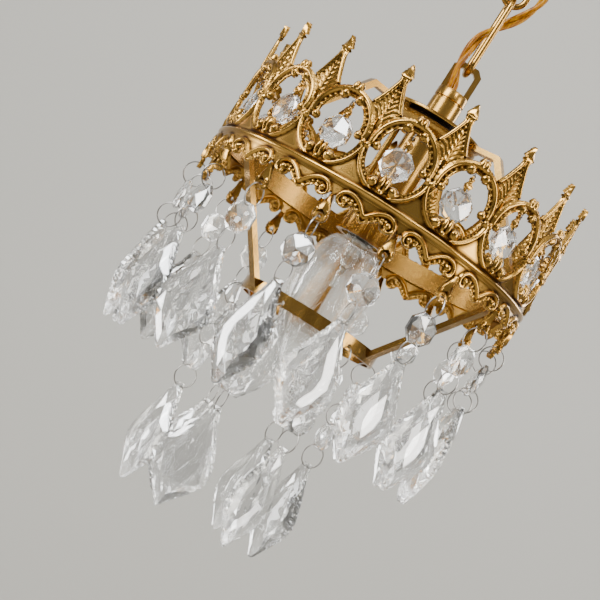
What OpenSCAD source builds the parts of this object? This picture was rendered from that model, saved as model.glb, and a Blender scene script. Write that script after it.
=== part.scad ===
// Small crown pendant light: a pierced brass crown hung with cut crystal, on a chain and a twisted flex.
// The origin is the middle of the ceiling screw pattern, on the ceiling plane, and the light hangs below it.

/* [Hanging height] */
// Height of the top of the collar below the ceiling
collar_drop = 134; // [130:1:140]

/* [Crown] */
// Outer radius of the stamped crown strip
crown_r = 80; // [78:0.5:84]
// Thickness of the stamped strip
strip_t = 1; // [0.8:0.1:1.2]
// Height of a spire's tip above the bead moulding
spire_h = 57; // [52:1:60]
// Turn of the first medallion away from the front
crown_turn = -3; // [-10:0.5:10]

/* [Frame] */
// Radius of the lower hoop
lower_hoop_r = 35; // [34:0.5:38]
// Height of the lower hoop's strip
lower_hoop_h = 6.3; // [5:0.1:8]
// Width of the arms and bars
bar_w = 5; // [4:0.5:6]
// Thickness of the arms and bars
bar_t = 2.5; // [2:0.1:2.5]
// Radius of the top plate
plate_r = 25; // [24:0.5:28]

/* [Crystal] */
// Size of an octagon across its flats
octagon_w = 14; // [12:0.5:14]
// Length of a pendant
pendant_h = 50; // [46:1:52]
// Largest half width of a pendant
pendant_half_w = 14.5; // [12:0.5:14.5]
// Most that a pendant has turned about its string
pendant_turn = 28; // [0:1:30]

/* [Chain and flex] */
// Radius of the chain's wire
link_wire_r = 1.5; // [1.3:0.1:1.5]
// Radius of the twisted flex
flex_r = 2.5; // [2:0.1:2.5]

/* [Bulb] */
// Largest radius of the glass
bulb_r = 18.2; // [16:0.2:19]

/* [Hidden] */
units = 16;
lower_strings = 6;
STRINGS = [for (k = [0 : units - 1]) str("upper_string_", k + 1)];
LOWER_STRINGS = [for (k = [0 : lower_strings - 1]) str("lower_string_", k + 1)];
DROPS = [for (k = [0 : units - 1]) str("medallion_drop_", k + 1)];
FRAME = ["ceiling_canopy", "mounting_bracket", "canopy_fasteners", "canopy_loop", "cord_gland",
    "upper_chain_link", "lower_chain_link", "collar_loop", "collar", "top_plate", "lower_dish",
    "support_arms", "upper_hoop", "crown_strip", "lower_bars", "lower_hoop", "socket_shell",
    "socket_insert", "bulb_base", "bulb_glass", "bulb_stem", "power_cord"];

$fn = 48;
brass = "#b8924a";
dark_brass = "#8f7440";
steel = "#8a8883";
crystal = "#dfe6e8";
flex_gold = "#c98a12";
ivory = "#e8e2d0";

// Levels
collar_h = 17;
plate_top = 57;
collar_z = -collar_drop;
bead_z = collar_z - collar_h - plate_top;

// Crown
unit_angle = 360 / units;
half_unit = PI * crown_r / units;
strip_in_r = crown_r - strip_t;
medallion_z = 21.2;
medallion_r = 15;
opening_r = 11;
crescent_z = 18.5;
crescent_r = 13.4;
border_h = 7;
eye_z = -17;
eye_hole_r = 1.1;
hook_z = 34.6;
hook_loop_r = 1.4;
hook_r = crown_r - 3.4;

// Frame
hoop_in_r = strip_in_r - 2;
hoop_low = -2;
hoop_high = 8;
plate_low = plate_top - 1.4;
dish_rim_z = plate_low - bar_t;
arm_bend_r = 38;
arm_end_z = 4.4;
lower_hoop_high = -48;
lower_eye_z = lower_hoop_high - 4.4;
lower_hoop_in_r = lower_hoop_r - 1.6;
arm_turn = 60;
bar_turn = 62;
lower_string_turn = 36;

// Strings: wire rings, octagons and pendants
ring_wire_r = 0.32;
ring_r = 5.5;
seat = 0.45;
hole_r = 0.9;
octagon_edge = 1.4;
octagon_t = 5.6;
octagon_hole_gap = 9.8;
pendant_hole_below = 2.5;
pendant_rim_t = 1.6;
pendant_t = 8.4;
string_r = crown_r - strip_t / 2;
lower_string_r = (lower_hoop_r + lower_hoop_in_r) / 2;
drop_ring_r = 1.5;
drop_pin_h = 3.9;

// Chain, measured up from the top of the collar
link_half_w = 5.5;
link_gap = 0.15;
collar_loop_h = 15;
collar_loop_bar = 2.8;
collar_loop_w = 14.6;
lower_link_low = collar_loop_h - collar_loop_bar - 0.3 - link_wire_r;
lower_link_high = lower_link_low + 41.75;
upper_link_low = lower_link_high - 2 * link_wire_r - link_gap;
upper_link_high = upper_link_low + 42;
canopy_loop_low = upper_link_high - 2 * link_wire_r - link_gap;
lower_link_yaw = 6;

// Canopy
canopy_r = 50;
canopy_h = 24;
canopy_t = 1.2;
bracket_t = 2;
ceiling_screw_gap = 50;
canopy_stud_x = 33;
shank_r = 4.9;
gland_x = 9.5;
gland_y = 8.5;

// Route of the flex, measured from the top of the collar
FLEX_ROUTE = [[-2, -3.9, -4], [-2, -3.9, -1], [-2.2, -3.9, 2], [-3.4, -4.1, 6], [-4.6, -4.3, 10],
    [-5, -4.4, 14], [-4.9, -4.3, 18], [-4.6, -3.8, 22], [-4, -3, 26], [-2.8, -1.7, 30],
    [-0.8, -0.4, 34], [1.8, 0.2, 38], [4.6, 0.1, 42], [7.2, -0.3, 46], [9.4, -0.9, 50],
    [11.2, -1.8, 54.5], [12, -2.8, 58.8], [11.4, -3.9, 63], [9.8, -4.8, 66.6], [7.3, -5.2, 69.9],
    [4.5, -4.8, 72.8], [2, -3.4, 75.8], [0.8, -1.2, 78.9], [1.1, 1.5, 81.9], [3, 4.2, 85.3],
    [5.5, 6.5, 90], [7.7, 7.8, 95.2], [9.1, 8.3, 101], [9.5, 8.5, 106], [9.5, 8.5, 112]];
flex_sides = 10;

// Azimuth in the model's own axes of a direction given from the front, positive to the right
function from_front(angle) = angle - 90;
function medallion_angle(k) = from_front(crown_turn + k * unit_angle);
function spire_angle(k) = medallion_angle(k) + unit_angle / 2;

// ---------- helpers ----------

// A hollow ring between two radii and two heights
module tube(outer_r, inner_r, low, high) {
    translate([0, 0, low]) difference() {
        cylinder(h = high - low, r = outer_r, $fn = 96);
        translate([0, 0, -1]) cylinder(h = high - low + 2, r = inner_r, $fn = 96);
    }
}

// Stands an outline of the tangent plane on its radius and gives it depth towards the outside
module radial_slab(from_r, depth) {
    translate([from_r, 0, 0]) rotate([90, 0, 90]) linear_extrude(height = depth) children();
}

// A wire ring whose plane holds the local X and Z axes
module wire_ring(mean_r, wire_r) {
    rotate([90, 0, 0]) rotate_extrude() translate([mean_r, 0]) circle(r = wire_r, $fn = 24);
}

// A long wire link with round ends, in the local X and Z plane, between two wire centres
module wire_link(low, high, wire_r) {
    half = link_half_w;
    for (side = [-1, 1]) {
        translate([side * half, 0, low + half]) cylinder(h = high - low - 2 * half, r = wire_r);
    }
    translate([0, 0, low + half]) rotate([90, 0, 0]) rotate([0, 0, 180])
        rotate_extrude(angle = 180) translate([half, 0]) circle(r = wire_r);
    translate([0, 0, high - half]) rotate([90, 0, 0])
        rotate_extrude(angle = 180) translate([half, 0]) circle(r = wire_r);
}

// ---------- ceiling end ----------

module ceiling_canopy() color(brass) {
    wall = [[5.1, -canopy_h], [39, -canopy_h], [42.5, -canopy_h + 0.8], [45.5, -canopy_h + 3],
        [47.6, -canopy_h + 6.5], [48.8, -canopy_h + 12], [canopy_r, 0], [canopy_r - canopy_t, 0],
        [47.6, -canopy_h + 12], [46.5, -canopy_h + 7.2], [44.7, -canopy_h + 4],
        [42, -canopy_h + 2], [39, -canopy_h + canopy_t], [5.1, -canopy_h + canopy_t]];
    difference() {
        rotate_extrude($fn = 96) polygon(wall);
        for (side = [-1, 1]) {
            translate([side * canopy_stud_x, 0, -canopy_h - 1]) cylinder(h = 4, r = 2.3);
        }
        translate([gland_x, gland_y, -canopy_h - 1]) cylinder(h = 4, r = 3.6);
    }
}

module mounting_bracket() color(steel) {
    difference() {
        translate([-40, -7, -bracket_t]) cube([80, 14, bracket_t]);
        translate([0, 0, -bracket_t - 1]) cylinder(h = bracket_t + 2, r = shank_r + 0.1);
        for (side = [-1, 1]) {
            translate([side * ceiling_screw_gap / 2, 0, -bracket_t - 1])
                cylinder(h = bracket_t + 2, r = 2.25);
        }
    }
}

module canopy_fasteners() color(dark_brass) {
    // Two studs under the bracket, each with a cap nut below the canopy
    for (side = [-1, 1]) translate([side * canopy_stud_x, 0, 0]) {
        translate([0, 0, -canopy_h]) cylinder(h = canopy_h - bracket_t, r = 2);
        translate([0, 0, -canopy_h - 4]) cylinder(h = 4, r = 4.2);
        translate([0, 0, -canopy_h - 4]) intersection() {
            sphere(r = 4.2);
            translate([0, 0, -5]) cylinder(h = 5, r = 5);
        }
    }
    // Lock nut of the loop's shank, under the bracket
    translate([0, 0, -bracket_t - 4]) difference() {
        cylinder(h = 4, r = 8.5, $fn = 6);
        translate([0, 0, -1]) cylinder(h = 6, r = shank_r);
    }
}

module canopy_loop() color(brass) {
    cylinder_low = -canopy_h - 5;
    translate([0, 0, cylinder_low]) cylinder(h = 5, r = 6.2);
    translate([0, 0, -canopy_h]) cylinder(h = canopy_h - 0.5, r = shank_r);
    low = collar_z + canopy_loop_low;
    rotate([0, 0, 90]) difference() {
        wire_link(low, cylinder_low + link_half_w, link_wire_r);
        translate([-10, -10, cylinder_low]) cube(20);
    }
}

module cord_gland() color(ivory) {
    translate([gland_x, gland_y, 0]) difference() {
        union() {
            translate([0, 0, -canopy_h - 1.5]) cylinder(h = 1.5, r = 4.8);
            translate([0, 0, -canopy_h]) cylinder(h = 4, r = 3.5);
        }
        translate([0, 0, -canopy_h - 3]) cylinder(h = 9, r = flex_r + 0.25);
    }
}

// ---------- chain and flex ----------

module upper_chain_link() color(brass) {
    translate([0, 0, collar_z]) wire_link(upper_link_low, upper_link_high, link_wire_r);
}

module lower_chain_link() color(brass) {
    translate([0, 0, collar_z]) rotate([0, 0, 90 + lower_link_yaw])
        wire_link(lower_link_low, lower_link_high, link_wire_r);
}

function unit_of(v) = v / norm(v);
function flex_way(i) = unit_of(
    FLEX_ROUTE[min(i + 1, len(FLEX_ROUTE) - 1)] - FLEX_ROUTE[max(i - 1, 0)]);
function flex_side(i) = unit_of(cross(flex_way(i), [0.6, 0.8, 0.05]));
function flex_point(i, j) = let (side = flex_side(i), turn = 360 * j / flex_sides)
    FLEX_ROUTE[i] + flex_r * (cos(turn) * side + sin(turn) * cross(flex_way(i), side));

module power_cord() color(flex_gold) {
    rings = len(FLEX_ROUTE);
    points = [for (i = [0 : rings - 1]) for (j = [0 : flex_sides - 1]) flex_point(i, j)];
    walls = [for (i = [0 : rings - 2]) for (j = [0 : flex_sides - 1]) let (n = (j + 1) % flex_sides)
        [i * flex_sides + j, i * flex_sides + n, (i + 1) * flex_sides + n, (i + 1) * flex_sides + j]];
    first = [for (j = [flex_sides - 1 : -1 : 0]) j];
    last = [for (j = [0 : flex_sides - 1]) (rings - 1) * flex_sides + j];
    translate([0, 0, collar_z]) polyhedron(points, concat([first], walls, [last]));
}

// ---------- collar, plates and frame ----------

module collar_loop() color(brass) {
    half = collar_loop_w / 2;
    chamfer = 3;
    inner = half - collar_loop_bar;
    top_in = collar_loop_h - collar_loop_bar;
    translate([0, 1.3, collar_z]) rotate([90, 0, 0]) linear_extrude(height = 2.6)
        polygon([[-half, 0], [-half, collar_loop_h - chamfer], [-half + chamfer, collar_loop_h],
            [half - chamfer, collar_loop_h], [half, collar_loop_h - chamfer], [half, 0],
            [inner, 0], [inner, top_in - 1.6], [inner - 1.6, top_in],
            [-inner + 1.6, top_in], [-inner, top_in - 1.6], [-inner, 0]]);
}

module collar() color(brass) {
    collar_r = 7.6;
    translate([0, 0, collar_z]) difference() {
        union() {
            translate([0, 0, -collar_h]) cylinder(h = collar_h, r = collar_r);
            translate([0, 0, -collar_h - 11]) cylinder(h = 12, r = shank_r);
        }
        tube(collar_r + 1, collar_r - 0.4, -collar_h / 2 - 0.3, -collar_h / 2 + 0.3);
        translate([FLEX_ROUTE[0][0], FLEX_ROUTE[0][1], -5]) cylinder(h = 6, r = flex_r + 0.3);
    }
}

module top_plate() color(brass) {
    edge = [[shank_r + 0.1, plate_low], [plate_r - 0.3, plate_low], [plate_r, plate_low + 0.3],
        [plate_r, plate_top - 0.3], [plate_r - 0.3, plate_top],
        [shank_r + 0.1, plate_top]];
    translate([0, 0, bead_z]) rotate_extrude($fn = 96) polygon(edge);
}

module lower_dish() color(brass) {
    rim = dish_rim_z;
    wall = [[shank_r + 0.1, rim - 4.6], [15, rim - 4.6], [19, rim - 4.1], [22, rim - 2.9],
        [23.6, rim - 1.4], [24, rim], [22.8, rim], [22.4, rim - 1], [21.2, rim - 2.2],
        [18.6, rim - 3.1], [15, rim - 3.5], [shank_r + 0.1, rim - 3.5]];
    translate([0, 0, bead_z]) rotate_extrude($fn = 96) polygon(wall);
}

// A flat bar in the radial plane, kept between two radii
module radial_bar(outline, inner_r, outer_r) {
    intersection() {
        translate([0, bar_w / 2, 0]) rotate([90, 0, 0]) linear_extrude(height = bar_w)
            polygon(outline);
        difference() {
            translate([0, 0, -80]) cylinder(h = 160, r = outer_r, $fn = 96);
            translate([0, 0, -81]) cylinder(h = 162, r = inner_r, $fn = 96);
        }
    }
}

module support_arms() color(brass) {
    slope = (dish_rim_z + bar_t / 2 - arm_end_z) / (hoop_in_r - arm_bend_r);
    depth = bar_t * sqrt(1 + slope * slope);
    corner = bar_t * 0.42;
    outline = [[16, dish_rim_z], [arm_bend_r - corner, dish_rim_z],
        [hoop_in_r + 1, arm_end_z - slope - depth / 2],
        [hoop_in_r + 1, arm_end_z - slope + depth / 2],
        [arm_bend_r + corner, plate_low], [16, plate_low]];
    translate([0, 0, bead_z]) for (k = [0 : 2])
        rotate([0, 0, from_front(arm_turn + 120 * k)]) radial_bar(outline, 17, hoop_in_r);
}

module upper_hoop() color(brass) {
    translate([0, 0, bead_z]) tube(strip_in_r, hoop_in_r, hoop_low, hoop_high);
}

module lower_bars() color(brass) {
    high = 0;
    low = lower_hoop_high - 2.2;
    slope = (high - low) / (hoop_in_r - lower_hoop_r);
    depth = bar_t * sqrt(1 + slope * slope);
    outline = [[lower_hoop_r - 1, low - slope - depth / 2], [hoop_in_r + 1, high + slope - depth / 2],
        [hoop_in_r + 1, high + slope + depth / 2], [lower_hoop_r - 1, low - slope + depth / 2]];
    translate([0, 0, bead_z]) for (k = [0 : 2])
        rotate([0, 0, from_front(bar_turn + 120 * k)]) radial_bar(outline, lower_hoop_r, hoop_in_r);
}

module lower_hoop() color(brass) {
    translate([0, 0, bead_z]) difference() {
        tube(lower_hoop_r, lower_hoop_in_r, lower_hoop_high - lower_hoop_h, lower_hoop_high);
        for (k = [0 : lower_strings - 1]) {
            rotate([0, 0, from_front(lower_string_turn + 60 * k)])
                translate([lower_hoop_in_r - 2, 0, lower_eye_z]) rotate([0, 90, 0])
                cylinder(h = 6, r = eye_hole_r, $fn = 24);
        }
    }
}

// ---------- crown ----------

// The window of a medallion: a round upper part, a wider crescent below it, and the scroll ends
module medallion_window() {
    difference() {
        union() {
            translate([0, medallion_z]) circle(r = opening_r);
            intersection() {
                translate([0, crescent_z]) circle(r = crescent_r);
                translate([-20, -20]) square([40, 20 + crescent_z]);
            }
        }
        translate([0, 7.5]) circle(r = 2.4);
        translate([-1, 2]) square([2, 5]);
    }
}

// One repeat of the strip, as a flat outline: the medallion with its bud, and the border's scrolls
module strip_unit() {
    difference() {
        union() {
            translate([-half_unit - 0.3, -border_h]) square([2 * half_unit + 0.6, border_h + 19]);
            translate([0, medallion_z]) circle(r = medallion_r);
            translate([0, 37.3]) circle(r = 2.7);
            for (side = [-1, 1]) translate([side * 10.4, -6.2]) circle(r = 3.6);
            polygon([[-6.4, -border_h + 0.5], [-6.4, -border_h], [0, -11], [6.4, -border_h],
                [6.4, -border_h + 0.5]]);
        }
        medallion_window();
    }
}

// Between two medallions: the spire above, and the teardrop hanging eye below the border
module strip_post() {
    half_spire = [[0.3, spire_h], [2, spire_h - 3.8], [2.9, spire_h - 5.8], [1.3, spire_h - 7.7],
        [2.1, spire_h - 11.5], [4.1, spire_h - 16.4], [7, 34.6], [3, 12]];
    count = len(half_spire);
    polygon(concat(half_spire, [for (k = [count - 1 : -1 : 0]) [-half_spire[k][0], half_spire[k][1]]]));
    difference() {
        union() {
            translate([0, -16.4]) circle(r = 3.1);
            polygon([[-0.9, -5], [0.9, -5], [3.03, -15.75], [-3.03, -15.75]]);
        }
        translate([0, eye_z]) circle(r = eye_hole_r, $fn = 24);
    }
}

module crown_strip() color(brass) {
    moulding = [[crown_r - 0.5, -2.2], [crown_r + 0.3, -2.2], [crown_r + 0.6, -0.8],
        [crown_r + 1.5, -0.2], [crown_r + 1.5, 0.9], [crown_r + 0.9, 1.6], [crown_r - 0.5, 1.6]];
    translate([0, 0, bead_z]) {
        intersection() {
            tube(crown_r, strip_in_r, -22, spire_h + 2);
            for (k = [0 : units - 1]) {
                rotate([0, 0, medallion_angle(k)]) radial_slab(crown_r - 6, 8) strip_unit();
                rotate([0, 0, spire_angle(k)]) radial_slab(crown_r - 6, 8) strip_post();
            }
        }
        rotate_extrude($fn = 96) polygon(moulding);
        // A wire pin through each medallion's top, with its loop behind the strip
        for (k = [0 : units - 1]) rotate([0, 0, medallion_angle(k)]) {
            translate([hook_r, 0, hook_z]) rotate([0, 90, 0])
                cylinder(h = crown_r + 0.6 - hook_r, r = 0.6, $fn = 24);
            translate([hook_r, 0, hook_z - hook_loop_r]) rotate([0, 0, 90])
                wire_ring(hook_loop_r, ring_wire_r);
        }
    }
}

// ---------- lamp holder and bulb ----------

module socket_shell() color(brass) {
    // Smooth tube under the dish, widening to a fluted cup with a thin flange at its mouth
    dish_low = dish_rim_z - 4.6;
    wall = [[shank_r + 0.1, dish_low], [9, dish_low], [9, 10], [11.9, 7], [11.9, -6.2],
        [12.9, -6.2], [12.9, -7.2], [10, -7.2], [10, 6.4], [8, 8.4], [8, dish_low - 1.2],
        [shank_r + 0.1, dish_low - 1.2]];
    translate([0, 0, bead_z]) {
        difference() {
            rotate_extrude($fn = 96) polygon(wall);
            for (k = [0 : 23]) rotate([0, 0, 15 * k + 7.5])
                translate([12.3, 0, -5.8]) cylinder(h = 20, r = 1, $fn = 16);
        }
        // Two rods that carry the cup from the dish
        for (side = [-1, 1]) {
            translate([side * 13.4, 0, 3.4]) cylinder(h = dish_low - 3.4, r = 1.6, $fn = 24);
            translate([side * 12.1 - 1.3, -1.1, 4.2]) cube([2.6, 2.2, 2]);
        }
    }
}

module socket_insert() color(ivory) {
    translate([0, 0, bead_z]) difference() {
        union() {
            translate([0, 0, -5.5]) cylinder(h = 11.9, r = 9.9);
            translate([0, 0, -5.5]) cylinder(h = 40, r = 7.9);
        }
        translate([0, 0, -6.5]) cylinder(h = 27.5, r = 7.05);
        translate([0, 0, 30]) cylinder(h = 6, r = 2);
    }
}

module bulb_base() color(dark_brass) {
    translate([0, 0, bead_z]) difference() {
        union() {
            translate([0, 0, -6.4]) cylinder(h = 22, r = 6.9);
            translate([0, 0, 15.6]) cylinder(h = 2.2, r = 4.6);
            translate([0, 0, 17.8]) cylinder(h = 1.6, r = 2.2);
        }
        translate([0, 0, -7.4]) cylinder(h = 15, r = 6.2);
    }
}

module bulb_glass() color(crystal, 0.35) {
    neck = -7.3;
    outside = [[6.9, neck + 0.9], [7.6, neck - 1], [11.6, neck - 3.1], [14.4, neck - 7.2],
        [16.5, neck - 12], [17.8, neck - 17.5], [bulb_r, neck - 24], [17.9, neck - 31],
        [16.4, neck - 40], [13.4, neck - 49], [9.6, neck - 57], [6, neck - 63.5],
        [3.4, neck - 68.5], [1.7, neck - 71.6], [0, neck - 72.7]];
    inside = [for (p = outside) [max(0, p[0] - 0.8), p[1] + (p[0] < 5 ? 0.9 : 0)]];
    count = len(outside);
    translate([0, 0, bead_z]) rotate_extrude()
        polygon(concat(outside, [for (k = [count - 1 : -1 : 0]) inside[k]]));
}

module bulb_stem() color(crystal) {
    translate([0, 0, bead_z]) {
        // The flared foot sealed into the base, the tube, the flat pinch and the thin rod
        rotate_extrude() polygon([[0, -14], [3.9, -14], [3.9, 1.5], [5.8, 5.6], [5.8, 7.6], [0, 7.6]]);
        translate([-3.6, -1.4, -20]) cube([7.2, 2.8, 6.5]);
        translate([0, 0, -32]) cylinder(h = 12.5, r = 1.2);
    }
}

// ---------- crystal ----------

// An octagon that faces outwards, its middle at the origin, pierced near its top and bottom
module octagon(holes) {
    rim_r = octagon_w / 2 / cos(22.5);
    face_r = rim_r * 0.6;
    difference() {
        rotate([0, 90, 0]) rotate([0, 0, 22.5]) hull() {
            translate([0, 0, -octagon_edge / 2]) cylinder(h = octagon_edge, r = rim_r, $fn = 8);
            translate([0, 0, -octagon_t / 2]) cylinder(h = octagon_t, r = face_r, $fn = 8);
        }
        for (z = holes) translate([-5, 0, z]) rotate([0, 90, 0])
            cylinder(h = 10, r = hole_r, $fn = 24);
    }
}

// Half width of the pendant at a depth below its top, given as a share of its length
function leaf_half(share) = pendant_half_w * lookup(share, [[0, 0.15], [0.06, 0.22], [0.16, 0.36],
    [0.3, 0.62], [0.44, 0.86], [0.56, 1], [0.66, 0.94], [0.78, 0.68], [0.9, 0.32], [1, 0.05]]);

// A cut pendant that faces outwards, its top at the origin: two rims and a raised table each side
module pendant() {
    shares = [0, 0.06, 0.16, 0.3, 0.44, 0.56, 0.66, 0.78, 0.9, 1];
    middle = 0.56 * pendant_h;
    rows = len(shares);
    rim = concat([for (s = shares) [leaf_half(s), -s * pendant_h]],
        [for (i = [rows - 1 : -1 : 0]) [-leaf_half(shares[i]), -shares[i] * pendant_h]]);
    table = [for (p = rim) [p[0] * 0.5, (p[1] + middle) * 0.55 - middle]];
    n = len(rim);
    layers = [[table, -pendant_t / 2], [rim, -pendant_rim_t / 2], [rim, pendant_rim_t / 2],
        [table, pendant_t / 2]];
    points = [for (layer = layers) for (p = layer[0]) [layer[1], p[0], p[1]]];
    walls = [for (i = [0 : 2]) for (j = [0 : n - 1]) let (m = (j + 1) % n)
        [i * n + j, i * n + m, (i + 1) * n + m, (i + 1) * n + j]];
    back = [for (j = [n - 1 : -1 : 0]) j];
    front = [for (j = [0 : n - 1]) 3 * n + j];
    difference() {
        polyhedron(points, concat([back], walls, [front]));
        translate([-5, 0, -pendant_hole_below]) rotate([0, 90, 0])
            cylinder(h = 10, r = hole_r, $fn = 24);
    }
}

// Step from one ring's upper wire to the next ring's upper wire, with an octagon between them
octagon_step = 2 * ring_r + 2 * seat + octagon_hole_gap;

// A hanging string of octagons and a pendant, its upper wire at the origin. Each ring and crystal
// has turned a little further than the one above it, up to the pendant's turn.
module crystal_string(octagons, turn) {
    step_turn = turn / (2 * octagons + 1);
    for (k = [0 : octagons]) rotate([0, 0, 2 * k * step_turn])
        translate([0, 0, -k * octagon_step - ring_r]) wire_ring(ring_r, ring_wire_r);
    for (k = [0 : octagons - 1]) rotate([0, 0, (2 * k + 1) * step_turn])
        translate([0, 0, -k * octagon_step - 2 * ring_r - seat - octagon_hole_gap / 2])
        octagon([octagon_hole_gap / 2, -octagon_hole_gap / 2]);
    rotate([0, 0, turn])
        translate([0, 0, -octagons * octagon_step - 2 * ring_r - seat + pendant_hole_below]) pendant();
}

module upper_string(k) color(crystal, 0.5) {
    rotate([0, 0, spire_angle(k)]) translate([string_r, 0, bead_z + eye_z - 0.3])
        crystal_string(1, pendant_turn * sin(137 * k + 40));
}

module lower_string(k) color(crystal, 0.5) {
    rotate([0, 0, from_front(lower_string_turn + 60 * k)])
        translate([lower_string_r, 0, bead_z + lower_eye_z - 0.3])
        crystal_string(2, 1.3 * pendant_turn * sin(101 * k + 20));
}

// A small octagon on a barrel bead, hung behind the medallion's window
module medallion_drop(k) color(crystal, 0.5) {
    top = hook_z - 2 * hook_loop_r + 2 * ring_wire_r + 0.06;
    pin_top = -2 * drop_ring_r;
    pin_low = pin_top - drop_pin_h;
    rotate([0, 0, medallion_angle(k)]) translate([hook_r, 0, bead_z + top]) {
        translate([0, 0, -drop_ring_r]) wire_ring(drop_ring_r, ring_wire_r);
        translate([0, 0, pin_low]) rotate_extrude($fn = 24) polygon([[0, 0], [0.7, 0], [1.5, 0.7],
            [1.7, drop_pin_h / 2], [1.5, drop_pin_h - 0.7], [0.7, drop_pin_h], [0, drop_pin_h]]);
        translate([0, 0, pin_low - drop_ring_r]) wire_ring(drop_ring_r, ring_wire_r);
        translate([0, 0, pin_low - 2 * drop_ring_r - seat - octagon_hole_gap / 2])
            octagon([octagon_hole_gap / 2]);
    }
}

ceiling_canopy();
mounting_bracket();
canopy_fasteners();
canopy_loop();
cord_gland();
upper_chain_link();
lower_chain_link();
collar_loop();
collar();
top_plate();
lower_dish();
support_arms();
upper_hoop();
crown_strip();
lower_bars();
lower_hoop();
socket_shell();
socket_insert();
bulb_base();
bulb_glass();
bulb_stem();
power_cord();
for (k = [0 : units - 1]) upper_string(k);
for (k = [0 : lower_strings - 1]) lower_string(k);
for (k = [0 : units - 1]) medallion_drop(k);
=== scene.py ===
import bpy
import math
import numpy as np
from mathutils import Matrix, Vector


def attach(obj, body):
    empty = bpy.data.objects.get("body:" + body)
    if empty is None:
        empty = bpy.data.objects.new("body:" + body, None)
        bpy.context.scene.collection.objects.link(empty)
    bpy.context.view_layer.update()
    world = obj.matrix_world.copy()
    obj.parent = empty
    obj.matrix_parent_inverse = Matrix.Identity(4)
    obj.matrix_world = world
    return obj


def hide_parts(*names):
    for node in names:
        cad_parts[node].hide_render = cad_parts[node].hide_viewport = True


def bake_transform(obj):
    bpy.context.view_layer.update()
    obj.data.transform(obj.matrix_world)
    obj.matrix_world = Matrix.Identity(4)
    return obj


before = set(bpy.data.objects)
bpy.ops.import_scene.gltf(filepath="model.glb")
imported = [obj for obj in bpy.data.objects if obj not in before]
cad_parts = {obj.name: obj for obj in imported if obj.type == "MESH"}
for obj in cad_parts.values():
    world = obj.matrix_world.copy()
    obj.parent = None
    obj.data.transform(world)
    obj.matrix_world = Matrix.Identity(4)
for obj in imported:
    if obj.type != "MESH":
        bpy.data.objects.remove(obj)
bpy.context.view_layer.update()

MM = 0.001
UNITS = 16
LOWER_STRINGS = 6
CROWN_R = 80.0
STRIP_IN_R = 79.0
COLLAR_Z = -134.0
BEAD_Z = COLLAR_Z - 74.0
UNIT_ANGLE = 360.0 / UNITS
MEDALLION_0 = -93.0
SPIRE_0 = MEDALLION_0 + UNIT_ANGLE / 2
LOWER_STRING_0 = -54.0
UPPER_EYE_R, UPPER_EYE_Z = 79.5, BEAD_Z - 17.3
LOWER_EYE_R, LOWER_EYE_Z = 34.2, BEAD_Z - 52.7
HOOK_Z = BEAD_Z + 34.6
# A drop's top ring hangs in the bend of the wire hook below its eye
DROP_R, DROP_Z = 76.6, HOOK_Z - 2.8 + 0.64 + 0.06


# ---------- camera ----------

def make_camera():
    """Camera in front, a little below the crown, looking up at it and rolled."""
    yaw, pitch, roll = math.radians(0.70), math.radians(4.39), math.radians(32.4)
    distance, level = 0.720, -0.308
    forward = Vector((-math.sin(yaw) * math.cos(pitch), math.cos(yaw) * math.cos(pitch),
                      math.sin(pitch)))
    right = forward.cross(Vector((0, 0, 1))).normalized()
    up = right.cross(forward)
    cam_right = right * math.cos(roll) + up * math.sin(roll)
    cam_up = up * math.cos(roll) - right * math.sin(roll)
    data = bpy.data.cameras.new("camera")
    data.sensor_width = 36
    data.lens = 95.2
    data.clip_start = 0.01
    data.clip_end = 20
    camera = bpy.data.objects.new("camera", data)
    bpy.context.scene.collection.objects.link(camera)
    axes = Matrix((cam_right, cam_up, -forward)).transposed().to_4x4()
    camera.matrix_world = Matrix.Translation((0, -distance, level)) @ axes
    bpy.context.scene.camera = camera


make_camera()


# ---------- material helpers ----------

def new_material(name):
    material = bpy.data.materials.new(name)
    material.use_nodes = True
    nodes = material.node_tree.nodes
    links = material.node_tree.links
    return material, nodes, links, nodes["Principled BSDF"]


def noise(nodes, links, scale, detail=3.0, roughness=0.55, stretch=(1, 1, 1)):
    """Noise in the row frame, so that it doesn't depend on UVs."""
    coordinates = nodes.new("ShaderNodeTexCoord")
    mapping = nodes.new("ShaderNodeMapping")
    mapping.inputs["Scale"].default_value = stretch
    texture = nodes.new("ShaderNodeTexNoise")
    texture.inputs["Scale"].default_value = scale
    texture.inputs["Detail"].default_value = detail
    texture.inputs["Roughness"].default_value = roughness
    links.new(coordinates.outputs["Object"], mapping.inputs["Vector"])
    links.new(mapping.outputs["Vector"], texture.inputs["Vector"])
    return texture.outputs["Fac"]


def ramp(nodes, links, value, stops):
    node = nodes.new("ShaderNodeValToRGB")
    elements = node.color_ramp.elements
    while len(elements) < len(stops):
        elements.new(0.5)
    for element, (position, color) in zip(elements, stops):
        element.position = position
        element.color = (*color, 1)
    links.new(value, node.inputs["Fac"])
    return node.outputs["Color"]


def map_range(nodes, links, value, low, high, to_low, to_high):
    node = nodes.new("ShaderNodeMapRange")
    node.inputs["From Min"].default_value = low
    node.inputs["From Max"].default_value = high
    node.inputs["To Min"].default_value = to_low
    node.inputs["To Max"].default_value = to_high
    links.new(value, node.inputs["Value"])
    return node.outputs["Result"]


def bump(nodes, links, shader, height, strength, distance):
    node = nodes.new("ShaderNodeBump")
    node.inputs["Strength"].default_value = strength
    node.inputs["Distance"].default_value = distance
    links.new(height, node.inputs["Height"])
    links.new(node.outputs["Normal"], shader.inputs["Normal"])


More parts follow.
